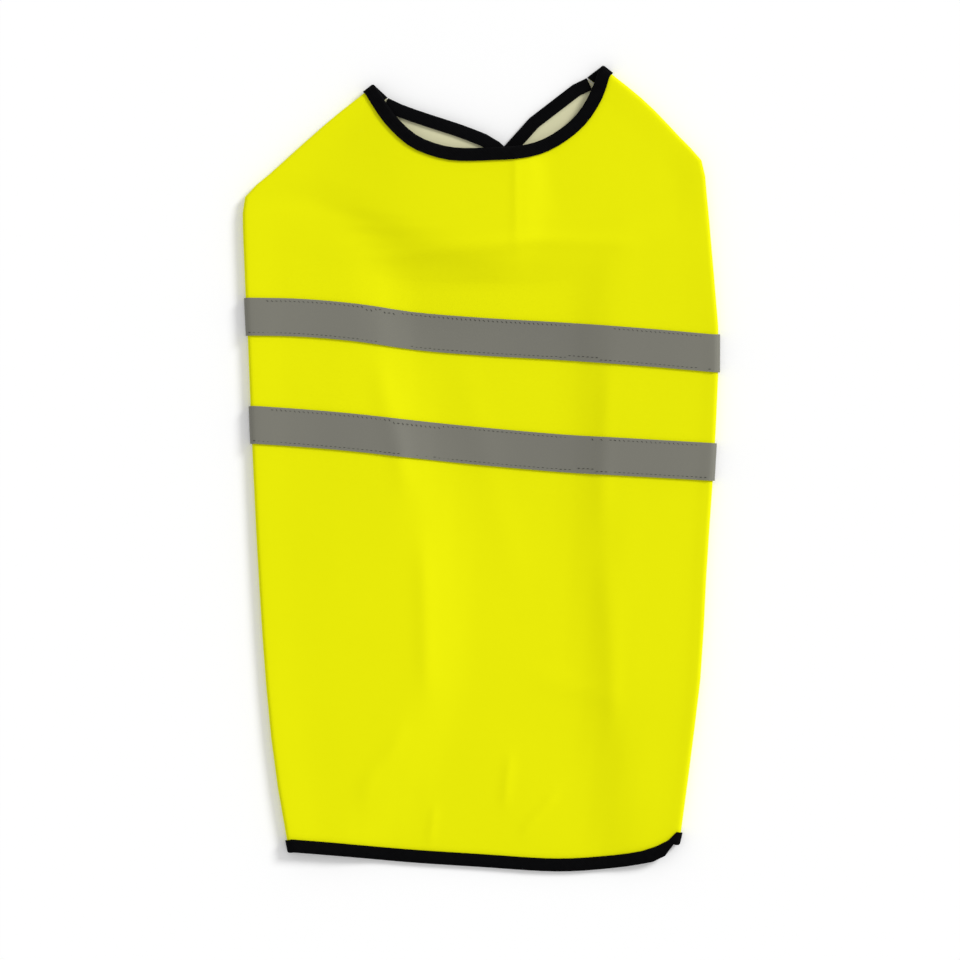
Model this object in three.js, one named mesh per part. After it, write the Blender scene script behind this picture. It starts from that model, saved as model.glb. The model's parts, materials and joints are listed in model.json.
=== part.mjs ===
// Dog high-visibility jacket, laid flat with its back up.
// Millimetres, +Z up, +Y towards the neck, +X to the wearer's right as seen from above.
// The surface it lies on is z = 0. The origin is the middle of its plan box, on that surface.
import * as THREE from 'three';

// Walls and clearances
const CLOTH = 1.0;                                  // wall of a panel, a tape and a binding
const GAP = 0.3;                                    // clearance between neighbouring pieces
const END_GAP = 1;                                  // further clearance where a binding ends at a seam
const HALF = CLOTH / 2;
const BINDING_HALF = HALF + GAP + CLOTH;            // from a panel's middle to its binding's outer face
const BINDING_LAP = 7.4;                            // how far a binding laps over the panel's face
const TAPE_WIDTH = 25;

// Heights of the panels' middles
const REST = BINDING_HALF;                          // lowest layer: its bindings and tapes touch the surface
const LAYER = 2 * BINDING_HALF + GAP;               // rise from one bound layer to the next
const OVER_ONE = REST + LAYER + 0.1;                // back panel over one layer
const SAG = REST + 0.1;                             // back panel where nothing lies under it
const SAG_REACH = 34;                               // plan distance in which the back panel sags
const LAP_MARGIN = 3;                               // it stays up this far past the layer under it

// Side folds
const FOLD_RADIUS = 2.4;                            // of the cloth's middle
const SEAM_INSET = 12;                              // from the fold's outermost line in to the hidden seam
const FOLD_SPREAD = 22;                             // width of the strip in which the fold's height eases off
const CLOTH_SPAN = 290;                             // rough width of the back, fold to fold

// Outline of the back, fold lines included, from the hem to the neck
const LEFT_FOLD = [
  { x: -127.6, y: -254.6 }, { x: -131.6, y: -234 }, { x: -137.9, y: -194 }, { x: -143.3, y: -141 },
  { x: -148.6, y: -61 }, { x: -152.4, y: 17 }, { x: -155.3, y: 89 }, { x: -157.6, y: 135 },
  { x: -158.6, y: 168 }, { x: -158.2, y: 177.5 }, { x: -154.8, y: 184.4 }, { x: -144.6, y: 192.7 },
  { x: -122.6, y: 212.5 }, { x: -99.9, y: 232.5 }, { x: -71.9, y: 254.6 },
];
const RIGHT_FOLD = [
  { x: 131.3, y: -249.4 }, { x: 134.3, y: -236 }, { x: 139.4, y: -194 }, { x: 146.1, y: -141 },
  { x: 150.7, y: -61 }, { x: 154.9, y: 0 }, { x: 157.9, y: 60 }, { x: 158.3, y: 89 },
  { x: 155.4, y: 126 }, { x: 151.4, y: 172 }, { x: 149.6, y: 190 }, { x: 147.9, y: 203.4 },
  { x: 132.9, y: 220.3 }, { x: 109.4, y: 244.5 }, { x: 81.4, y: 267.2 },
];
// Cut edges between the folds: the end points come from the folds
const HEM_EDGE = [
  { x: -95.9, y: -256.4 }, { x: -51.3, y: -260.6 }, { x: -0.6, y: -264 }, { x: 50.9, y: -267 },
  { x: 78.9, y: -265.6 }, { x: 106, y: -262 }, { x: 121, y: -257.6 },
];
const NECK_EDGE = [
  { x: -58.4, y: 234.6 }, { x: -44.3, y: 221.2 }, { x: -32.4, y: 215.6 }, { x: -17.5, y: 212.2 },
  { x: 9.4, y: 212.4 }, { x: 27.3, y: 213.7 }, { x: 41, y: 217.7 }, { x: 53.6, y: 225 }, { x: 64.4, y: 234.6 },
  { x: 73.4, y: 248.6 },
];

// Centre lines of the two reflective tapes on the back
const UPPER_TAPE = [
  { x: -156, y: 101.2 }, { x: -120.6, y: 100.5 }, { x: -82.6, y: 97.2 }, { x: -45.9, y: 91.9 },
  { x: -0.6, y: 88.1 }, { x: 56.7, y: 84.7 }, { x: 112.7, y: 80.5 }, { x: 158.1, y: 76.5 },
];
const LOWER_TAPE = [
  { x: -153.3, y: 29.4 }, { x: -120.6, y: 27.2 }, { x: -82.6, y: 23.9 }, { x: -45.9, y: 19.7 },
  { x: -0.6, y: 15.1 }, { x: 56.7, y: 10.1 }, { x: 94.1, y: 8 }, { x: 154.7, y: 4.5 },
];

// Free edges of the pieces underneath. A wing's runs from the hem to the leg opening,
// a strap's from the neck round its end to the leg opening.
const LEFT_WING_EDGE = [
  { x: -104, y: -251.5 }, { x: -93, y: -241 }, { x: -87, y: -229 }, { x: -74, y: -207 }, { x: -54, y: -172 },
  { x: -42, y: -125 }, { x: -42, y: -87 }, { x: -48, y: -43 }, { x: -61, y: 6 }, { x: -76, y: 64 },
  { x: -83, y: 115 }, { x: -90, y: 144 }, { x: -100, y: 156 }, { x: -118, y: 162.5 },
];
const RIGHT_WING_EDGE = [
  { x: 110, y: -246.5 }, { x: 104.5, y: -235 }, { x: 107, y: -199 }, { x: 101, y: -159 }, { x: 97, y: -114 },
  { x: 96, y: -65 }, { x: 90, y: -21 }, { x: 94, y: 30 }, { x: 93, y: 64 }, { x: 91, y: 125 },
  { x: 96, y: 143 }, { x: 110, y: 151 }, { x: 128, y: 154 },
];
const LEFT_STRAP_NECK = [
  { x: -52.6, y: 241 }, { x: -41.8, y: 237.1 }, { x: -29.1, y: 232.9 }, { x: -15.7, y: 228.6 },
  { x: -4, y: 224.3 }, { x: 6.2, y: 219.9 }, { x: 14.9, y: 213.5 }, { x: 20.5, y: 205 }, { x: 22.6, y: 193 },
];
const LEFT_STRAP_LOWER = [
  { x: -107, y: 197 }, { x: -67, y: 176 }, { x: -27, y: 157.5 }, { x: -4, y: 152 }, { x: 9, y: 151.6 },
  { x: 18, y: 156 }, { x: 22.4, y: 167 },
];
const RIGHT_STRAP_EDGE = [
  { x: 65, y: 256.6 }, { x: 52.3, y: 248.2 }, { x: 40.7, y: 239.4 }, { x: 28.9, y: 228.4 },
  { x: 17.5, y: 215.7 }, { x: 2, y: 198 }, { x: -14, y: 184 }, { x: -27, y: 174.5 }, { x: -36.5, y: 165 },
  { x: -38.5, y: 155 }, { x: -33.5, y: 147 }, { x: -24, y: 143.8 }, { x: -9, y: 144 }, { x: 35, y: 151 },
  { x: 75, y: 170 }, { x: 105, y: 191 },
];
const STRAP_RISE = { from: -122, to: -45 };         // where the left strap climbs over the right one

// Rectangular closure patches, given by their middles and sides
const CHEST_PATCH = { x: 3, y: 171, width: 18, height: 16 };
const LEFT_BELLY_PATCH = { x: -76, y: -75, width: 30, height: 80 };
const RIGHT_BELLY_PATCH = { x: 121, y: -75, width: 25, height: 80 };

// Each fold's outline, the side on which the cloth lies, the turn of the hidden strip at the neck,
// and the stretches of the seam that carry the wing and the strap, as fractions from hem to neck
const SIDES = {
  left: { rows: LEFT_FOLD, inward: 1, neckTurn: 9, wingEnd: 0.762, strapStart: 0.868 },
  right: { rows: RIGHT_FOLD, inward: -1, neckTurn: -14, wingEnd: 0.738, strapStart: 0.886 },
};
const CORNER = { from: 0.755, to: 0.875 };          // shoulder corner, as fractions of a fold line
const NORMAL_REACH = 0.022;                         // fraction of a fold line over which its direction is averaged

// Facets
const BACK_COLUMNS = 28;
const BEND_STEPS = 6;
const ROWS = { side: 12, corner: 6, shoulder: 5 };
const EDGE_ROW = 0.016;                             // extra row near the hem and the neck
const FINE_STEP = 2;                                // first sampling of a free edge
const MAX_TURN = THREE.MathUtils.degToRad(11);      // most that a free edge turns between two stations
const MAX_STEP = 34;
const STRAP_SECTIONS = 28;
const STRAP_STEP = 8;                               // longest step on the climbing strap's edges
const STRAP_WIDTH_STEPS = 4;
const TAPE_STEPS = 3;                               // facets across a tape
const TAPE_SAMPLES = 200;
const PROBE = 0.01;                                 // small step for reading a slope
const LEG_SLACK = 0.006;                            // fraction of the fold line left clear at a leg binding's ends

const YELLOW = new THREE.MeshStandardMaterial({ color: 0xe6ea04, roughness: 0.75, metalness: 0 });
const BLACK = new THREE.MeshStandardMaterial({ color: 0x060607, roughness: 0.8, metalness: 0 });
const SILVER = new THREE.MeshStandardMaterial({ color: 0x7a7a72, roughness: 0.5, metalness: 0.2 });
const FASTENER = new THREE.MeshStandardMaterial({ color: 0x111112, roughness: 0.95, metalness: 0 });

const point = (row) => new THREE.Vector3(row.x, row.y, 0);
const smooth = (t) => THREE.MathUtils.smoothstep(t, 0, 1);

// Smooth plan curve through rows of x and y, read at a fraction of its length
function curveThrough(rows) {
  const curve = new THREE.CatmullRomCurve3(rows.map(point), false, 'centripetal');
  curve.arcLengthDivisions = 600;
  return (t) => curve.getPointAt(THREE.MathUtils.clamp(t, 0, 1));
}

for (const side of Object.values(SIDES)) {
  side.outline = curveThrough(side.rows);
}

// Plan direction into the cloth at a fraction of a fold line
function inwardAt(side, v) {
  const ahead = side.outline(v + NORMAL_REACH);
  const along = ahead.sub(side.outline(v - NORMAL_REACH)).normalize();
  return new THREE.Vector3(along.y * side.inward, -along.x * side.inward, 0);
}

function insetPoint(side, v, inset) {
  return side.outline(v).addScaledVector(inwardAt(side, v), inset);
}

// Same, on the hidden strip, which turns a little at the neck to meet the strap's edge
function underPoint(side, v, inset) {
  const turn = side.neckTurn * smooth((v - CORNER.to) / (1 - CORNER.to));
  const axis = new THREE.Vector3(0, 0, 1);
  const direction = inwardAt(side, v).applyAxisAngle(axis, THREE.MathUtils.degToRad(turn));
  return side.outline(v).addScaledVector(direction, inset);
}

// ---- Free edges of the pieces underneath ----

// Keeps the points of a curve that its turns need
function stationsOf(curve, length, maxStep) {
  const count = Math.ceil(length / FINE_STEP);
  const fine = Array.from({ length: count + 1 }, (_, i) => curve(i / count));
  const kept = [fine[0]];
  let heading = fine[1].clone().sub(fine[0]);
  for (let i = 1; i < count; i += 1) {
    const next = fine[i + 1].clone().sub(fine[i]);
    const last = kept[kept.length - 1];
    if (next.angleTo(heading) > MAX_TURN || fine[i].distanceTo(last) > maxStep) {
      kept.push(fine[i]);
      heading = next;
    }
  }
  return [...kept, fine[count]];
}

function lengthOf(rows) {
  return rows.slice(1).reduce((sum, row, i) => sum + point(row).distanceTo(point(rows[i])), 0);
}

const seamAt = (side, v) => underPoint(side, v, SEAM_INSET + GAP);
const bindingEnd = (side, v) => underPoint(side, v, SEAM_INSET + GAP + END_GAP);

function freeEdge(startPoint, rows, endPoint, maxStep = MAX_STEP) {
  const all = [startPoint, ...rows, endPoint];
  return stationsOf(curveThrough(all), lengthOf(all), maxStep);
}

const leftWingEdge = freeEdge(bindingEnd(SIDES.left, 0), LEFT_WING_EDGE, bindingEnd(SIDES.left, SIDES.left.wingEnd));
const rightWingEdge = freeEdge(bindingEnd(SIDES.right, 0), RIGHT_WING_EDGE, bindingEnd(SIDES.right, SIDES.right.wingEnd));
const rightStrapEdge = freeEdge(
  bindingEnd(SIDES.right, 1), RIGHT_STRAP_EDGE, bindingEnd(SIDES.right, SIDES.right.strapStart));
const leftStrapTop = freeEdge(
  bindingEnd(SIDES.left, 1), LEFT_STRAP_NECK, { x: 22.8, y: 182 }, STRAP_STEP);
const leftStrapBottom = freeEdge(
  bindingEnd(SIDES.left, SIDES.left.strapStart), LEFT_STRAP_LOWER, { x: 22.8, y: 178 }, STRAP_STEP);

const leftStrapEdge = [...leftStrapTop, ...leftStrapBottom.slice().reverse()];

const leftStrapHeight = (x) => {
  const climb = smooth((x - STRAP_RISE.from) / (STRAP_RISE.to - STRAP_RISE.from));
  return REST + LAYER * climb;
};
const flatHeight = () => REST;

// ---- Height of the back panel over what lies under it ----

function distanceToLoop(x, y, loop) {
  let nearest = Infinity;
  let inside = false;
  loop.forEach((a, i) => {
    const b = loop[(i + 1) % loop.length];
    const run = b.clone().sub(a);
    const t = THREE.MathUtils.clamp(((x - a.x) * run.x + (y - a.y) * run.y) / run.lengthSq(), 0, 1);
    nearest = Math.min(nearest, Math.hypot(x - a.x - run.x * t, y - a.y - run.y * t));
    if ((a.y > y) !== (b.y > y) && x < a.x + run.x * (y - a.y) / run.y) {
      inside = !inside;
    }
  });
  return inside ? 0 : nearest;
}

const cover = (x, y, loop) => 1 - smooth((distanceToLoop(x, y, loop) - LAP_MARGIN) / SAG_REACH);

const YOKE = { from: 112, to: 150 };                // above this the cloth stays up over the leg openings
const BLEND_POWER = 5;

function backHeight(x, y) {
  const one = OVER_ONE - SAG;
  const lifts = [
    one * cover(x, y, leftWingEdge),
    one * cover(x, y, rightWingEdge),
    one * cover(x, y, rightStrapEdge),
    (leftStrapHeight(x) - REST + one) * cover(x, y, leftStrapEdge),
    0.9 * one * smooth((y - YOKE.from) / (YOKE.to - YOKE.from)),
  ];
  const sum = lifts.reduce((total, lift) => total + lift ** BLEND_POWER, 0);
  return SAG + sum ** (1 / BLEND_POWER);
}

// ---- Back panel ----

const foldStart = HALF + FOLD_RADIUS;
const hemCurve = curveThrough([
  insetPoint(SIDES.left, 0, foldStart), ...HEM_EDGE, insetPoint(SIDES.right, 0, foldStart)]);
const neckCurve = curveThrough([
  insetPoint(SIDES.left, 1, foldStart), ...NECK_EDGE, insetPoint(SIDES.right, 1, foldStart)]);

// Plan point of the upper face, u from the left fold to the right one, v from hem to neck
function backPlan(u, v) {
  const across = hemCurve(u).multiplyScalar(1 - v).addScaledVector(neckCurve(u), v);
  const up = insetPoint(SIDES.left, v, foldStart).multiplyScalar(1 - u);
  up.addScaledVector(insetPoint(SIDES.right, v, foldStart), u);
  const corners = hemCurve(0).multiplyScalar((1 - u) * (1 - v));
  corners.addScaledVector(hemCurve(1), u * (1 - v));
  corners.addScaledVector(neckCurve(0), (1 - u) * v);
  corners.addScaledVector(neckCurve(1), u * v);
  return across.add(up).sub(corners);
}

function topPoint(u, v) {
  const plan = backPlan(u, v);
  const fromFold = Math.min(u, 1 - u) * CLOTH_SPAN;
  const foldTop = REST + 2 * FOLD_RADIUS;
  plan.z = THREE.MathUtils.lerp(foldTop, backHeight(plan.x, plan.y), smooth(fromFold / FOLD_SPREAD));
  return plan;
}

// q runs from 0 at the end of the upper face, round the bend to 1, and along the hidden strip to 2
function foldPoint(side, q, v) {
  if (q <= 1) {
    const turned = q * Math.PI;
    const plan = insetPoint(side, v, foldStart - FOLD_RADIUS * Math.sin(turned));
    const under = underPoint(side, v, foldStart - FOLD_RADIUS * Math.sin(turned));
    plan.lerp(under, q);
    plan.z = REST + FOLD_RADIUS * (1 + Math.cos(turned));
    return plan;
  }
  const plan = underPoint(side, v, THREE.MathUtils.lerp(foldStart, SEAM_INSET, q - 1));
  plan.z = REST;
  return plan;
}

function backPoint(s, v) {
  if (s < 0) {
    return foldPoint(SIDES.left, -s, v);
  }
  return s > 1 ? foldPoint(SIDES.right, s - 1, v) : topPoint(s, v);
}

const steps = (from, to, count) => Array.from({ length: count }, (_, i) => from + (to - from) * i / count);

const columns = [
  -2, ...steps(-1, 0, BEND_STEPS), ...steps(0, 1, BACK_COLUMNS), ...steps(1, 2, BEND_STEPS), 2, 3];
const rows = [
  0, ...steps(EDGE_ROW, CORNER.from, ROWS.side), ...steps(CORNER.from, CORNER.to, ROWS.corner),
  ...steps(CORNER.to, 1 - EDGE_ROW, ROWS.shoulder), 1 - EDGE_ROW, 1];

const backGrid = columns.map((s) => rows.map((v) => backPoint(s, v)));

// Outward direction of the cloth at each point of a grid
function normalsOf(grid) {
  return grid.map((column, i) => column.map((_, j) => {
    const left = grid[Math.max(i - 1, 0)][j];
    const right = grid[Math.min(i + 1, grid.length - 1)][j];
    const below = column[Math.max(j - 1, 0)];
    const above = column[Math.min(j + 1, column.length - 1)];
    return right.clone().sub(left).cross(above.clone().sub(below)).normalize();
  }));
}

const backNormals = normalsOf(backGrid);

// Point and outward direction on one column of the back, between its rows
function onBack(column, v) {
  const above = THREE.MathUtils.clamp(rows.findIndex((row) => row >= v), 1, rows.length - 1);
  const t = (v - rows[above - 1]) / (rows[above] - rows[above - 1]);
  const place = backGrid[column][above - 1].clone().lerp(backGrid[column][above], t);
  const normal = backNormals[column][above - 1].clone().lerp(backNormals[column][above], t).normalize();
  return { place, normal };
}

// ---- Solids ----

function solid(name, material, positions, indices) {
  const geometry = new THREE.BufferGeometry();
  geometry.setAttribute('position', new THREE.Float32BufferAttribute(positions, 3));
  geometry.setIndex(indices);
  geometry.computeVertexNormals();
  const mesh = new THREE.Mesh(geometry, material);
  mesh.name = name;
  return mesh;
}

// Closed wall between two distances from a grid of points, along its normals
function wall(name, material, grid, normals, inner, outer) {
  const across = grid.length;
  const along = grid[0].length;
  const positions = [];
  for (const distance of [inner, outer]) {
    grid.forEach((column, i) => column.forEach((place, j) => {
      positions.push(...place.clone().addScaledVector(normals[i][j], distance).toArray());
    }));
  }
  const at = (layer, i, j) => (layer * across + i) * along + j;
  const indices = [];
  const quad = (a, b, c, d) => indices.push(a, b, c, a, c, d);
  for (let i = 0; i + 1 < across; i += 1) {
    for (let j = 0; j + 1 < along; j += 1) {
      quad(at(1, i, j), at(1, i + 1, j), at(1, i + 1, j + 1), at(1, i, j + 1));
      quad(at(0, i, j), at(0, i, j + 1), at(0, i + 1, j + 1), at(0, i + 1, j));
    }
  }
  for (let i = 0; i + 1 < across; i += 1) {
    const last = along - 1;
    quad(at(0, i, 0), at(0, i + 1, 0), at(1, i + 1, 0), at(1, i, 0));
    quad(at(0, i + 1, last), at(0, i, last), at(1, i, last), at(1, i + 1, last));
  }
  for (let j = 0; j + 1 < along; j += 1) {
    const last = across - 1;
    quad(at(0, 0, j + 1), at(0, 0, j), at(1, 0, j), at(1, 0, j + 1));
    quad(at(0, last, j), at(0, last, j + 1), at(1, last, j + 1), at(1, last, j));
  }
  return solid(name, material, positions, indices);
}

// Section of a binding: distance in from the panel's edge, and distance from the panel's middle
const BINDING_SECTION = [
  { lap: BINDING_LAP, off: BINDING_HALF }, { lap: 0, off: BINDING_HALF }, { lap: -1.0, off: 1.1 },
  { lap: -GAP - CLOTH, off: 0 }, { lap: -1.0, off: -1.1 }, { lap: 0, off: -BINDING_HALF },
  { lap: BINDING_LAP, off: -BINDING_HALF }, { lap: BINDING_LAP, off: -HALF - GAP },
  { lap: -GAP, off: -HALF - GAP }, { lap: -GAP, off: HALF + GAP }, { lap: BINDING_LAP, off: HALF + GAP },
];

// Binding swept along stations: each gives a place and normal for a distance in from the edge
function binding(name, stations) {
  const count = BINDING_SECTION.length;
  const positions = [];
  for (const station of stations) {
    for (const { lap, off } of BINDING_SECTION) {
      const { place, normal } = station(lap);
      positions.push(...place.clone().addScaledVector(normal, off).toArray());
    }
  }
  const indices = [];
  for (let i = 0; i + 1 < stations.length; i += 1) {
    for (let k = 0; k < count; k += 1) {
      const next = (k + 1) % count;
      const a = i * count + k;
      const b = i * count + next;
      indices.push(a, b, b + count, a, b + count, a + count);
    }
  }
  const contour = BINDING_SECTION.map(({ lap, off }) => new THREE.Vector2(lap, off));
  const caps = THREE.ShapeUtils.triangulateShape(contour, []);
  const last = (stations.length - 1) * count;
  for (const [a, b, c] of caps) {
    indices.push(a, c, b);
    indices.push(last + a, last + b, last + c);
  }
  return facingOut(solid(name, BLACK, positions, indices));
}

// Turns a closed mesh's faces over if they enclose a negative volume
function facingOut(mesh) {
  const { position } = mesh.geometry.attributes;
  const index = mesh.geometry.index.array;
  const corner = (k) => new THREE.Vector3().fromBufferAttribute(position, index[k]);
  let volume = 0;
  for (let k = 0; k < index.length; k += 3) {
    volume += corner(k).dot(corner(k + 1).cross(corner(k + 2)));
  }
  if (volume < 0) {
    for (let k = 0; k < index.length; k += 3) {
      [index[k], index[k + 1]] = [index[k + 1], index[k]];
    }
  }
  return mesh;
}

// ---- Pieces on the back ----

const backPanel = wall('back_panel', YELLOW, backGrid, backNormals, -HALF, HALF);

// Binding on the hem (edge 0) or the neck (edge 1), from seam to seam round both folds
function crossBinding(name, edge) {
  const inward = edge === 0 ? 1 : -1;
  const stations = columns.map((s, column) => (lap) => {
    const start = onBack(column, edge);
    const pace = onBack(column, edge + inward * PROBE).place.sub(start.place).divideScalar(PROBE);
    const near = onBack(column + (column + 1 < columns.length ? 1 : -1), edge).place;
    const along = near.sub(start.place).normalize();
    const slant = pace.clone().normalize().dot(along);
    const fraction = lap / (pace.length() * Math.max(Math.sqrt(1 - slant ** 2), 0.8));
    if (lap <= 0) {
      return { place: start.place.addScaledVector(pace, fraction), normal: start.normal };
    }
    return onBack(column, edge + inward * fraction);
  });
  return binding(name, stations);
}

// Tape laid on the back round a centre line, from seam to seam
function backTape(name, line) {
  const centre = curveThrough(line);
  const samples = steps(0, 1.001, TAPE_SAMPLES).map(centre);
  const heightAt = (x) => {
    const i = THREE.MathUtils.clamp(samples.findIndex((p) => p.x >= x), 1, samples.length - 1);
    return THREE.MathUtils.mapLinear(x, samples[i - 1].x, samples[i].x, samples[i - 1].y, samples[i].y);
  };
  const fractionAt = (column, offset) => {
    let low = 0;
    let high = 1;
    for (let k = 0; k < 30; k += 1) {
      const middle = (low + high) / 2;
      const { place } = onBack(column, middle);
      const line = heightAt(THREE.MathUtils.clamp(place.x, samples[0].x, samples[TAPE_SAMPLES - 1].x));
      [low, high] = place.y < line + offset ? [middle, high] : [low, middle];
    }
    return low;
  };
  const grid = [];
  const normals = [];
  columns.forEach((s, column) => {
    const fold = THREE.MathUtils.clamp(s, 0, 1);
    const level = columns.indexOf(fold);
    const from = fractionAt(level, -TAPE_WIDTH / 2);
    const to = fractionAt(level, TAPE_WIDTH / 2);
    const points = [...steps(from, to, TAPE_STEPS), to].map((v) => onBack(column, v));
    grid.push(points.map(({ place }) => place));
    normals.push(points.map(({ normal }) => normal));
  });
  return wall(name, SILVER, grid, normals, HALF + GAP, BINDING_HALF);
}

// Binding round a free edge whose cloth lies to the given hand of its direction
function edgeBinding(name, edge, hand, height) {
  const stations = edge.map((place, i) => (lap) => {
    const along = edge[Math.min(i + 1, edge.length - 1)].clone().sub(edge[Math.max(i - 1, 0)]).normalize();
    const spot = place.clone().add(new THREE.Vector3(-along.y, along.x, 0).multiplyScalar(hand * lap));
    const slope = (height(spot.x + PROBE) - height(spot.x - PROBE)) / (2 * PROBE);
    spot.z = height(spot.x);
    return { place: spot, normal: new THREE.Vector3(-slope, 0, 1).normalize() };
  });
  return binding(name, stations);
}

// Flat piece between two heights
function flatPiece(name, material, outline, low, high) {
  const shape = new THREE.Shape(outline.map(({ x, y }) => new THREE.Vector2(x, y)));
  const geometry = new THREE.ExtrudeGeometry(shape, { depth: high - low, bevelEnabled: false });
  geometry.translate(0, 0, low);
  const mesh = new THREE.Mesh(geometry, material);
  mesh.name = name;
  return mesh;
}

function rectangle({ x, y, width, height }) {
  const [w, h] = [width / 2, height / 2];
  return [{ x: x - w, y: y - h }, { x: x + w, y: y - h }, { x: x + w, y: y + h }, { x: x - w, y: y + h }];
}

// Seam points on the back's rows between two fractions of a fold line
function seamPoints(side, from, to) {
  const between = rows.filter((v) => v > from + 0.004 && v < to - 0.004);
  return [from, ...between, to].map((v) => seamAt(side, v));
}

const panelAt = (name, outline) => flatPiece(name, YELLOW, outline, REST - HALF, REST + HALF);

function wing(name, side, edge) {
  const seam = seamPoints(side, 0, side.wingEnd);
  return panelAt(name, [...edge, ...seam.slice(1, -1).reverse()]);
}

// Left strap: sections from the seam to the end, each from its lower edge to its neck edge
function leftStrap() {
  const top = curveThrough(leftStrapTop);
  const bottom = curveThrough(leftStrapBottom);
  const seam = curveThrough(seamPoints(SIDES.left, SIDES.left.strapStart, 1));
  const grid = [...steps(0, 1, STRAP_SECTIONS), 1].map((t) => [...steps(0, 1, STRAP_WIDTH_STEPS), 1].map((w) => {
    const place = bottom(t).lerp(top(t), w);
    const chord = bottom(0).lerp(top(0), w);
    place.addScaledVector(seam(w).sub(chord), 1 - smooth(t * 6));
    place.z = leftStrapHeight(place.x);
    return place;
  }));
  return wall('left_chest_strap', YELLOW, grid, normalsOf(grid), -HALF, HALF);
}

// Tape under a wing, from the seam to the wing's binding, at one height up the jacket
function wingTape(name, side, edge, y) {
  const h = TAPE_WIDTH / 2;
  const seamX = (level) => {
    const fold = [...steps(0, side.wingEnd, TAPE_SAMPLES)].map((v) => seamAt(side, v));
    return fold.reduce((best, p) => (Math.abs(p.y - level) < Math.abs(best.y - level) ? p : best)).x;
  };
  const freeX = (level) => {
    const i = edge.findIndex((p, k) => k > 0 && p.y >= level);
    return THREE.MathUtils.mapLinear(level, edge[i - 1].y, edge[i].y, edge[i - 1].x, edge[i].x);
  };
  const stop = -side.inward * (BINDING_LAP + 1.5);
  const outline = [
    { x: seamX(y - h) + side.inward, y: y - h }, { x: freeX(y - h) + stop, y: y - h },
    { x: freeX(y + h) + stop, y: y + h }, { x: seamX(y + h) + side.inward, y: y + h },
  ];
  return flatPiece(name, SILVER, outline, 0, CLOTH);
}

// Binding on the hidden strip's edge between wing and strap
function legBinding(name, side) {
  const from = side.wingEnd + LEG_SLACK;
  const to = side.strapStart - LEG_SLACK;
  const inner = rows.filter((v) => v > from && v < to);
  const edge = [from, ...inner, to].map((v) => underPoint(side, v, SEAM_INSET));
  return edgeBinding(name, edge, side.inward, flatHeight);
}

const lifted = (patch, low) => [rectangle(patch), low, low + CLOTH];
const overPanel = REST + HALF + GAP;

const jacket = new THREE.Group();
jacket.add(
  backPanel,
  crossBinding('hem_binding_back', 0),
  crossBinding('neck_binding_back', 1),
  backTape('upper_tape_back', UPPER_TAPE),
  backTape('lower_tape_back', LOWER_TAPE),
  wing('left_belly_wing', SIDES.left, leftWingEdge),
  wing('right_belly_wing', SIDES.right, rightWingEdge),
  edgeBinding('left_wing_binding', leftWingEdge, 1, flatHeight),
  edgeBinding('right_wing_binding', rightWingEdge, -1, flatHeight),
  wingTape('upper_tape_left', SIDES.left, leftWingEdge, 101),
  wingTape('lower_tape_left', SIDES.left, leftWingEdge, 29),
  wingTape('upper_tape_right', SIDES.right, rightWingEdge, 76),
  wingTape('lower_tape_right', SIDES.right, rightWingEdge, 4),
  leftStrap(),
  panelAt('right_chest_strap', [
    ...rightStrapEdge, ...seamPoints(SIDES.right, SIDES.right.strapStart, 1).slice(1, -1)]),
  edgeBinding('left_strap_binding', leftStrapEdge, -1, leftStrapHeight),
  edgeBinding('right_strap_binding', rightStrapEdge, 1, flatHeight),
  legBinding('left_leg_binding', SIDES.left),
  legBinding('right_leg_binding', SIDES.right),
  flatPiece('chest_hook_patch', FASTENER, ...lifted(CHEST_PATCH, overPanel)),
  flatPiece('chest_loop_patch', FASTENER, ...lifted(CHEST_PATCH, overPanel + CLOTH + GAP)),
  flatPiece('belly_hook_patch', FASTENER, ...lifted(LEFT_BELLY_PATCH, overPanel)),
  flatPiece('belly_loop_patch', FASTENER, ...lifted(RIGHT_BELLY_PATCH, 0)),
);

export default jacket;
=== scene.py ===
"""Dog high-visibility jacket laid flat: cloth shells, tapes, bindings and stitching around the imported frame."""

import json
import logging
import math
from dataclasses import dataclass, field
from enum import Enum

import bmesh
import bpy
from mathutils import Matrix, Vector

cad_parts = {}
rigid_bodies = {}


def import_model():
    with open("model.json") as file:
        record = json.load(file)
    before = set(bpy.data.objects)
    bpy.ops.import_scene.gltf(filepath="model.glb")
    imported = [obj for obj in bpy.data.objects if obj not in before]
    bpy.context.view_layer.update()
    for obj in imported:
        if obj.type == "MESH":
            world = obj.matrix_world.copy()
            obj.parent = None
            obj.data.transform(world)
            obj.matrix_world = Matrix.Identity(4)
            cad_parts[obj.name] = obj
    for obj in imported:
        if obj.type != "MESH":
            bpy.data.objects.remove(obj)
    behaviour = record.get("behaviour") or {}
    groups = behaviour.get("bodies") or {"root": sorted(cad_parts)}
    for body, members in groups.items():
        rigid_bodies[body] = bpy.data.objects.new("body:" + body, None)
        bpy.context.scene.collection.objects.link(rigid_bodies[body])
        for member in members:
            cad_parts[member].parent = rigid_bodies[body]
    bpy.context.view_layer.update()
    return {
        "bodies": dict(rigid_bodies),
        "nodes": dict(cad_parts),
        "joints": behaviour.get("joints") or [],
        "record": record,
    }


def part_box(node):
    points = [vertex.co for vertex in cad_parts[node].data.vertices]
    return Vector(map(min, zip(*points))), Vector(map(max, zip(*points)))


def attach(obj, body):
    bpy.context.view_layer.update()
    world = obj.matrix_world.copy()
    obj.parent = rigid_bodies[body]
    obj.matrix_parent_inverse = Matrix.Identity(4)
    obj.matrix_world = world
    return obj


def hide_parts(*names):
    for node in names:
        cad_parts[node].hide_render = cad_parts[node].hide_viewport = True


LOG = logging.getLogger("jacket")
MM = 0.001
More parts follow.
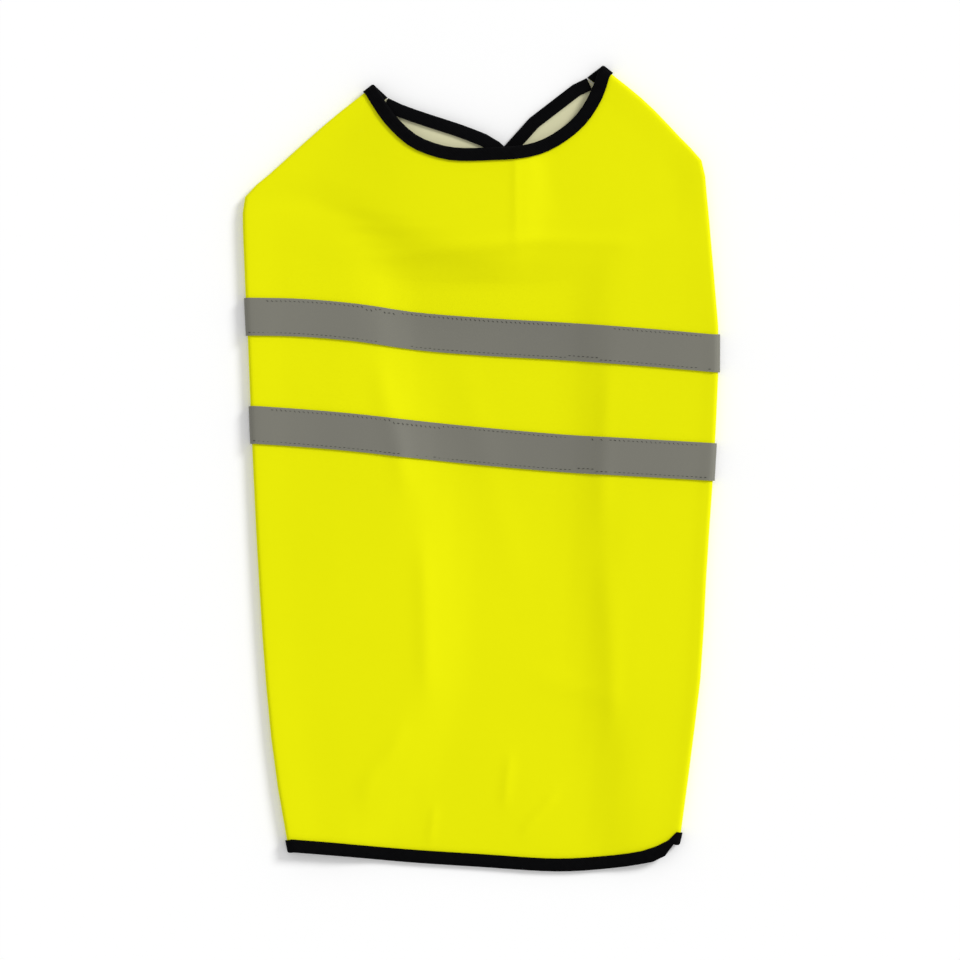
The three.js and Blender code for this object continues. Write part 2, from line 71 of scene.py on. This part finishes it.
FADE_START = 92.0  # mm across, where the laid back's wrinkles start to fade towards the folds
FADE_WIDTH = 20.0
INSIDE_REACH = 0.112  # metres across and up within which the back's underside shows its lining
INSIDE_TOP = 0.235
SHARP_TURN = math.radians(40)
BINDING_CUT = 19 * MM  # flat width of a binding
TAPE_CUT = 25 * MM


class Finish(Enum):
    """Material slots of the record."""

    CLOTH = "hi_vis_fabric"
    TAPE = "reflective_tape"
    BINDING = "binding_tape"
    FASTENER = "hook_and_loop"


def ease(t: float) -> float:
    """Eases a fraction smoothly from 0 to 1.

    Args:
        t: The fraction, held within 0 and 1.

    Returns:
        The eased fraction.
    """
    t = min(max(t, 0.0), 1.0)
    return t * t * (3 - 2 * t)


@dataclass(frozen=True)
class Crease:
    """A soft ridge or trough along a line, in millimetres."""

    x0: float
    y0: float
    x1: float
    y1: float
    width: float
    height: float

    def lift(self, x: float, y: float) -> float:
        """Height that the crease adds at a plan point.

        Args:
            x: Plan place across, mm.
            y: Plan place along, mm.

        Returns:
            The rise in millimetres.
        """
        run_x, run_y = self.x1 - self.x0, self.y1 - self.y0
        length = math.hypot(run_x, run_y)
        along = ((x - self.x0) * run_x + (y - self.y0) * run_y) / length**2
        off = ((x - self.x0) * run_y - (y - self.y0) * run_x) / length
        if not -0.3 < along < 1.3 or abs(off) > 3 * self.width:
            return 0.0
        ends = ease((along + 0.3) / 0.5) * ease((1.3 - along) / 0.5)
        return self.height * ends * math.exp(-((off / self.width) ** 2))


CREASES = (
    Crease(19, -194, 16, -221, 3.5, 0.7),
    Crease(49, -217, 29, -241, 3.5, 0.7),
    Crease(-31, -227, -34, -247, 3.0, 0.6),
    Crease(23, 206, 23, 152, 2.5, 0.5),
    Crease(-67, 141, 35, 152, 5.0, 0.5),
    Crease(35, 152, 100, 150, 5.0, 0.4),
    Crease(-66, 60, -50, -10, 7.0, 0.8),
    Crease(-38, -60, -36, -140, 6.0, 0.9),
    Crease(-52, -176, -78, -214, 6.0, 0.8),
    Crease(84, 60, 80, -30, 6.0, 0.7),
    Crease(84, -70, 88, -165, 7.0, 0.8),
    Crease(40, -140, 88, -152, 6.0, 0.5),
    Crease(-10, 60, 20, -60, 10.0, 0.4),
)


def wrinkle(x: float, y: float) -> float:
    """Rise of the laid back over its creases, faded out towards the folds.

    Args:
        x: Plan place across, mm.
        y: Plan place along, mm.

    Returns:
        The rise in millimetres.
    """
    fade = 1 - ease((abs(x) - FADE_START) / FADE_WIDTH)
    if fade <= 0:
        return 0.0
    swell = 0.12 * math.sin(x / 17 + 1.3 * math.sin(y / 31)) * math.sin(y / 43 + 0.6)
    return fade * (swell + 0.12 + sum(crease.lift(x, y) for crease in CREASES))


class Value:
    """A shader socket on which sums are written as Python expressions."""

    def __init__(self, finish: "Shader", socket: bpy.types.NodeSocket) -> None:
        """Wraps a socket of a finish."""
        self.finish = finish
        self.socket = socket

    def _math(self, kind: str, first: object, second: object) -> "Value":
        """Adds a Math node on two values."""
        node = self.finish.node("ShaderNodeMath", {"operation": kind}, {0: first, 1: second})
        return Value(self.finish, node.outputs[0])

    def __add__(self, other: object) -> "Value":
        """Sum."""
        return self._math("ADD", self, other)

    def __sub__(self, other: object) -> "Value":
        """Difference."""
        return self._math("SUBTRACT", self, other)

    def __rsub__(self, other: object) -> "Value":
        """Difference with the socket second."""
        return self._math("SUBTRACT", other, self)

    def __mul__(self, other: object) -> "Value":
        """Product."""
        return self._math("MULTIPLY", self, other)

    __radd__ = __add__
    __rmul__ = __mul__


class Shader:
    """Node maker for one material."""

    def __init__(self, name: str) -> None:
        """Starts a material.

        Args:
            name: The material's name.
        """
        self.material = bpy.data.materials.new(name)
        self.material.use_nodes = True
        self.tree = self.material.node_tree
        self.surface = self.tree.nodes["Principled BSDF"]
        place = self.tree.nodes.new("ShaderNodeTexCoord")
        self.place = Value(self, place.outputs["Object"])

    def node(self, kind: str, settings: dict, inputs: dict) -> bpy.types.Node:
        """Makes a node.

        Args:
            kind: The node's type.
            settings: Its properties.
            inputs: Values or links for its sockets.

        Returns:
            The node.
        """
        made = self.tree.nodes.new(kind)
        for key, value in settings.items():
            setattr(made, key, value)
        for key, value in inputs.items():
            if isinstance(value, Value):
                self.tree.links.new(value.socket, made.inputs[key])
            else:
                made.inputs[key].default_value = value
        return made

    def noise(self, scale: float, detail: float = 3.0, stretch: tuple = (1, 1, 1)) -> Value:
        """Makes noise on object coordinates, about 0.5 in the middle.

        Args:
            scale: How fine the noise is, per metre.
            detail: Octaves of finer noise.
            stretch: Scale along each axis first.

        Returns:
            The noise.
        """
        turned = self.node("ShaderNodeMapping", {}, {"Vector": self.place, "Scale": stretch})
        inputs = {"Vector": Value(self, turned.outputs[0]), "Scale": scale, "Detail": detail}
        grain = self.node("ShaderNodeTexNoise", {}, inputs)
        return Value(self, grain.outputs["Fac"])

    def threads(self, spacing: float, direction: str) -> Value:
        """Makes rows of threads.

        Args:
            spacing: From thread to thread, metres.
            direction: The wave's band direction.

        Returns:
            The threads' height, 0 to 1.
        """
        # a wave's period is 2 pi over 20 times its scale
        scale = 2 * math.pi / (20 * spacing)
        wave = self.node(
            "ShaderNodeTexWave",
            {"bands_direction": direction},
            {"Vector": self.place, "Scale": scale, "Distortion": 0.4},
        )
        return Value(self, wave.outputs["Fac"])

    def mix(self, factor: object, first: object, second: object) -> Value:
        """Mixes two colours.

        Args:
            factor: 0 gives the first, 1 the second.
            first: A colour.
            second: A colour.

        Returns:
            The mixed colour.
        """
        made = self.node("ShaderNodeMix", {"data_type": "RGBA"}, {0: factor, 6: first, 7: second})
        return Value(self, made.outputs[2])

    def bump(self, height: Value, distance: float, strength: float) -> None:
        """Feeds a height to the surface's normal.

        Args:
            height: The height, 0 to 1.
            distance: The relief's depth, metres.
            strength: How much of it shows.
        """
        made = self.node("ShaderNodeBump", {}, {"Height": height, "Distance": distance, "Strength": strength})
        self.tree.links.new(made.outputs[0], self.surface.inputs["Normal"])

    def feed(self, name: str, value: object) -> None:
        """Links or sets one of the surface's sockets.

        Args:
            name: The socket.
            value: A value to link, or a plain number or colour.
        """
        if isinstance(value, Value):
            self.tree.links.new(value.socket, self.surface.inputs[name])
        else:
            self.surface.inputs[name].default_value = value


@dataclass(frozen=True)
class ClothFinish:
    """Fluorescent plain weave outside, pale inside."""

    bright: tuple = (0.90, 0.90, 0.0, 1)
    deep: tuple = (0.82, 0.84, 0.0, 1)
    inside: tuple = (0.74, 0.72, 0.46, 1)
    thread: float = 0.0006

    def make(self) -> bpy.types.Material:
        """Builds the material."""
        s = Shader("fluorescent_weave")
        tone = s.noise(5.0, 4.0)
        inner = s.node("ShaderNodeAttribute", {"attribute_name": "inner"}, {})
        outside = s.mix(tone, self.deep, self.bright)
        s.feed("Base Color", s.mix(Value(s, inner.outputs["Fac"]), outside, self.inside))
        s.feed("Roughness", 0.62 + 0.2 * s.noise(900.0))
        weave = s.threads(self.thread, "X") * 0.5 + s.threads(self.thread, "Y") * 0.5
        s.bump(weave + s.noise(90.0) * 0.8, 0.0001, 0.5)
        s.surface.inputs["Specular IOR Level"].default_value = 0.06
        return s.material


@dataclass(frozen=True)
class TapeFinish:
    """Grey retroreflective tape with a fine bead grain and painted reflection: lighter and darker bands along its
    length.
    """

    # dark and light bound the tape's grey; the mix between them is partly bead grain and partly painted
    # reflection
    dark: tuple = (0.135, 0.132, 0.115, 1)
    light: tuple = (0.255, 0.25, 0.2, 1)

    def make(self) -> bpy.types.Material:
        """Builds the material."""
        s = Shader("reflective_beads")
        beads = s.noise(3500.0, 1.0)
        # painted reflection: band makes lighter and darker stretches along the tape, standing in for its
        # brightness changing with its tilt to the light; the beads are real grain
        band = s.noise(9.0, 1.0, (1, 0.1, 0.1))
        s.feed("Base Color", s.mix(band * 0.7 + beads * 0.3, self.dark, self.light))
        s.feed("Roughness", 0.42 + 0.2 * beads)
        s.feed("Metallic", 0.15)
        s.bump(beads + s.noise(120.0) * 0.6, 0.00006, 0.5)
        return s.material


@dataclass(frozen=True)
class DarkFinish:
    """Black ribbed binding or napped fastener."""

    name: str
    rib: float
    depth: float

    def make(self) -> bpy.types.Material:
        """Builds the material."""
        s = Shader(self.name)
        s.feed("Base Color", s.mix(s.noise(400.0), (0.0008, 0.0008, 0.001, 1), (0.003, 0.003, 0.0036, 1)))
        s.feed("Roughness", 0.75 + 0.15 * s.noise(300.0))
        s.bump(s.threads(self.rib, "DIAGONAL") + s.noise(1500.0), self.depth, 0.6)
        s.surface.inputs["Specular IOR Level"].default_value = 0.04
        return s.material


@dataclass
class ClothShell:
    """One sewn piece: a fine thin shell on its solid's form.

    upper is true for what lies on top and wrinkles with the back; cuts is how finely its faces are
    divided; flat_width is the width that a strip was cut to, or 0 for a panel.
    """

    node: str
    finish: Finish
    upper: bool = False
    cuts: int = 0
    flat_width: float = 0.0
    smoothing: int = 8

    def build(self, frame: dict, material: bpy.types.Material) -> bpy.types.Object:
        """Makes the shell and dresses it.

        Args:
            material: The finish.

        Returns:
            The finished piece.
        """
        source = frame["nodes"][self.node]
        mesh = source.data.copy()
        mesh.name = self.node + "_cloth"
        shell = bmesh.new()
        shell.from_mesh(mesh)
        bmesh.ops.remove_doubles(shell, verts=shell.verts, dist=2e-6)
        if self.cuts:
            bmesh.ops.subdivide_edges(shell, edges=shell.edges, cuts=self.cuts, use_grid_fill=True)
        shell.normal_update()
        level = [v for v in shell.verts if self._on_face(v)]
        for _ in range(self.smoothing if self.cuts else 0):
            bmesh.ops.smooth_vert(shell, verts=level, factor=0.5, use_axis_z=True)
        if self.upper:
            for v in shell.verts:
                v.co.z += wrinkle(v.co.x / MM, v.co.y / MM) * MM
        self._mark_inside(shell)
        area = sum(f.calc_area() for f in shell.faces) / 2
        for edge in shell.edges:
            edge.smooth = edge.calc_face_angle(0.0) < SHARP_TURN
        for face in shell.faces:
            face.smooth = True
        shell.to_mesh(mesh)
        shell.free()
        piece = bpy.data.objects.new(self.node + "_cloth", mesh)
        bpy.context.scene.collection.objects.link(piece)
        mesh.materials.clear()
        mesh.materials.append(material)
        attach(piece, "root")
        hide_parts(self.node)
        low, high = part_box(self.node)
        wide, long = high[0] - low[0], high[1] - low[1]
        flat = (self.flat_width, area / self.flat_width) if self.flat_width else (wide, long)
        share = min(area, 0.999 * flat[0] * flat[1])
        LOG.info("%s: %d faces, %.4f m2", piece.name, len(mesh.polygons), area)
        return piece

    def _on_face(self, vert: bmesh.types.BMVert) -> bool:
        """Whether a point lies on the broad face of level cloth, clear of its rims."""
        return all(abs(face.normal.z) >= 0.8 for face in vert.link_faces)

    def _mark_inside(self, shell: bmesh.types.BMesh) -> None:
        """Writes 1 on the faces of the cloth's pale inside.

        Args:
            shell: The piece's mesh, with its normals up to date.
        """
        layer = shell.loops.layers.color.new("inner")
        if self.finish is not Finish.CLOTH:
            return
        for face in shell.faces:
            middle = face.calc_center_median()
            if self.upper:
                inside = face.normal.z < -0.5 and abs(middle.x) < INSIDE_REACH and middle.y < INSIDE_TOP
            else:
                inside = face.normal.z > 0.5
            for loop in face.loops:
                loop[layer] = (1, 1, 1, 1) if inside else (0, 0, 0, 1)


PIECES = (
    ClothShell("back_panel", Finish.CLOTH, True, 4),
    ClothShell("left_chest_strap", Finish.CLOTH, False, 2),
    ClothShell("right_chest_strap", Finish.CLOTH),
    ClothShell("left_belly_wing", Finish.CLOTH),
    ClothShell("right_belly_wing", Finish.CLOTH),
    ClothShell("upper_tape_back", Finish.TAPE, True, 5, TAPE_CUT),
    ClothShell("lower_tape_back", Finish.TAPE, True, 5, TAPE_CUT),
    ClothShell("upper_tape_left", Finish.TAPE),
    ClothShell("lower_tape_left", Finish.TAPE),
    ClothShell("upper_tape_right", Finish.TAPE),
    ClothShell("lower_tape_right", Finish.TAPE),
    ClothShell("hem_binding_back", Finish.BINDING, True, 3, BINDING_CUT, 3),
    ClothShell("neck_binding_back", Finish.BINDING, True, 3, BINDING_CUT, 3),
    ClothShell("left_wing_binding", Finish.BINDING, False, 0, BINDING_CUT),
    ClothShell("right_wing_binding", Finish.BINDING, False, 0, BINDING_CUT),
    ClothShell("left_strap_binding", Finish.BINDING, False, 0, BINDING_CUT),
    ClothShell("right_strap_binding", Finish.BINDING, False, 0, BINDING_CUT),
    ClothShell("left_leg_binding", Finish.BINDING, False, 0, BINDING_CUT),
    ClothShell("right_leg_binding", Finish.BINDING, False, 0, BINDING_CUT),
    ClothShell("chest_hook_patch", Finish.FASTENER),
    ClothShell("chest_loop_patch", Finish.FASTENER),
    ClothShell("belly_hook_patch", Finish.FASTENER),
    ClothShell("belly_loop_patch", Finish.FASTENER),
)


@dataclass
class StitchRows:
    """Rows of small stitches just inside both long edges of a tape on the back."""

    tape: str
    inset: float = 2.0 * MM
    pitch: float = 3.0 * MM
    length: float = 1.9 * MM
    thickness: float = 0.32 * MM

    def build(self, tape: bpy.types.Object, material: bpy.types.Material) -> bpy.types.Object:
        """Lays the stitches on the tape.

        Args:
            tape: The finished tape.
            material: The thread's finish.

        Returns:
            The stitches, as one piece.
        """
        crest = [v.co for v in tape.data.vertices if v.normal.z > 0.7]
        low = min(v.x for v in crest) + self.pitch
        high = max(v.x for v in crest) - self.pitch
        rows = bmesh.new()
        for step in range(int((high - low) / self.pitch)):
            x = low + step * self.pitch
            near = [v for v in crest if abs(v.x - x) < self.pitch]
            further = [v for v in crest if abs(v.x - x - 4 * self.pitch) < self.pitch]
            for pick, sign in ((max, -1), (min, 1)):
                edge = pick(near, key=lambda v: v.y)
                ahead = pick([*further, edge], key=lambda v: (abs(v.x - x), v.y))
                self._stitch(rows, Vector((x, edge.y + sign * self.inset, edge.z)), ahead - edge)
        mesh = bpy.data.meshes.new(self.tape + "_stitches")
        rows.to_mesh(mesh)
        rows.free()
        mesh.materials.append(material)
        piece = bpy.data.objects.new(self.tape + "_stitches", mesh)
        bpy.context.scene.collection.objects.link(piece)
        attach(piece, "root")
        return piece

    def _stitch(self, rows: bmesh.types.BMesh, place: Vector, run: Vector) -> None:
        """Adds one stitch, a small rounded bar, along the tape.

        Args:
            rows: The mesh of all the tape's stitches.
            place: The stitch's middle.
            run: The way along the tape's edge.
        """
        turn = math.atan2(run.y, run.x) if abs(run.x) > self.pitch else math.radians(-2.5)
        made = bmesh.ops.create_icosphere(rows, subdivisions=1, radius=0.5)
        bmesh.ops.scale(rows, verts=made["verts"], vec=(self.length, self.thickness, self.thickness))
        bmesh.ops.rotate(rows, verts=made["verts"], matrix=Matrix.Rotation(turn, 3, "Z"))
        bmesh.ops.translate(rows, verts=made["verts"], vec=place)


@dataclass
class Studio:
    """Pale floor, soft light and the overhead camera."""

    frame_width: float = 0.640
    distance: float = 3.0
    sensor: float = 36.0
    aim: tuple = (-0.0006, -0.0075)
    sky: float = 0.62
    floor_lift: float = 0.09
    sun: float = 1.9
    sun_turn: tuple = field(default=(math.radians(58), 0.0, math.radians(128)))

    def build(self) -> None:
        """Makes floor, world, lamp and camera."""
        self._make_floor()
        self._make_lights()
        self._make_camera()

    def _make_floor(self) -> None:
        """Lays the pale floor."""
        grid = bmesh.new()
        bmesh.ops.create_grid(grid, x_segments=1, y_segments=1, size=6.0)
        mesh = bpy.data.meshes.new("floor")
        grid.to_mesh(mesh)
        grid.free()
        floor = bpy.data.objects.new("floor", mesh)
        bpy.context.scene.collection.objects.link(floor)
        mesh.materials.append(self._floor_material())

    def _make_lights(self) -> None:
        """Makes the soft sky and the key lamp at the upper right."""
        world = bpy.data.worlds.new("studio")
        world.use_nodes = True
        world.node_tree.nodes["Background"].inputs[0].default_value = (1, 1, 1, 1)
        world.node_tree.nodes["Background"].inputs[1].default_value = self.sky
        bpy.context.scene.world = world
        lamp = bpy.data.lights.new("key", "SUN")
        lamp.energy = self.sun
        lamp.angle = math.radians(18)
        key = bpy.data.objects.new("key", lamp)
        key.rotation_euler = self.sun_turn
        bpy.context.scene.collection.objects.link(key)

    def _make_camera(self) -> None:
        """Hangs the camera over the jacket with a long lens."""
        lens = bpy.data.cameras.new("camera")
        lens.sensor_width = self.sensor
        lens.lens = self.sensor * self.distance / self.frame_width
        camera = bpy.data.objects.new("camera", lens)
        camera.location = Vector((*self.aim, self.distance))
        bpy.context.scene.collection.objects.link(camera)
        bpy.context.scene.camera = camera

    def _floor_material(self) -> bpy.types.Material:
        """White floor, lifted to full white for the camera only."""
        s = Shader("floor_white")
        s.feed("Base Color", (0.97, 0.97, 0.97, 1))
        s.feed("Roughness", 1.0)
        s.surface.inputs["Specular IOR Level"].default_value = 0.0
        path = s.node("ShaderNodeLightPath", {}, {})
        seen = Value(s, path.outputs["Is Camera Ray"]) + Value(s, path.outputs["Is Glossy Ray"])
        s.feed("Emission Color", seen * self.floor_lift)
        s.feed("Emission Strength", 1.0)
        return s.material


def main() -> None:
    """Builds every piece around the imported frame."""
    logging.basicConfig(level=logging.INFO)
    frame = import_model()
    bpy.context.scene.view_settings.view_transform = "Standard"
    Studio().build()
    finishes = {
        Finish.CLOTH: ClothFinish().make(),
        Finish.TAPE: TapeFinish().make(),
        Finish.BINDING: DarkFinish("black_binding", 0.0009, 0.00015).make(),
        Finish.FASTENER: DarkFinish("black_nap", 0.002, 0.0004).make(),
    }
    made = {piece.node: piece.build(frame, finishes[piece.finish]) for piece in PIECES}
    for tape in ("upper_tape_back", "lower_tape_back"):
        StitchRows(tape).build(made[tape], finishes[Finish.BINDING])


if __name__ == "__main__":
    main()
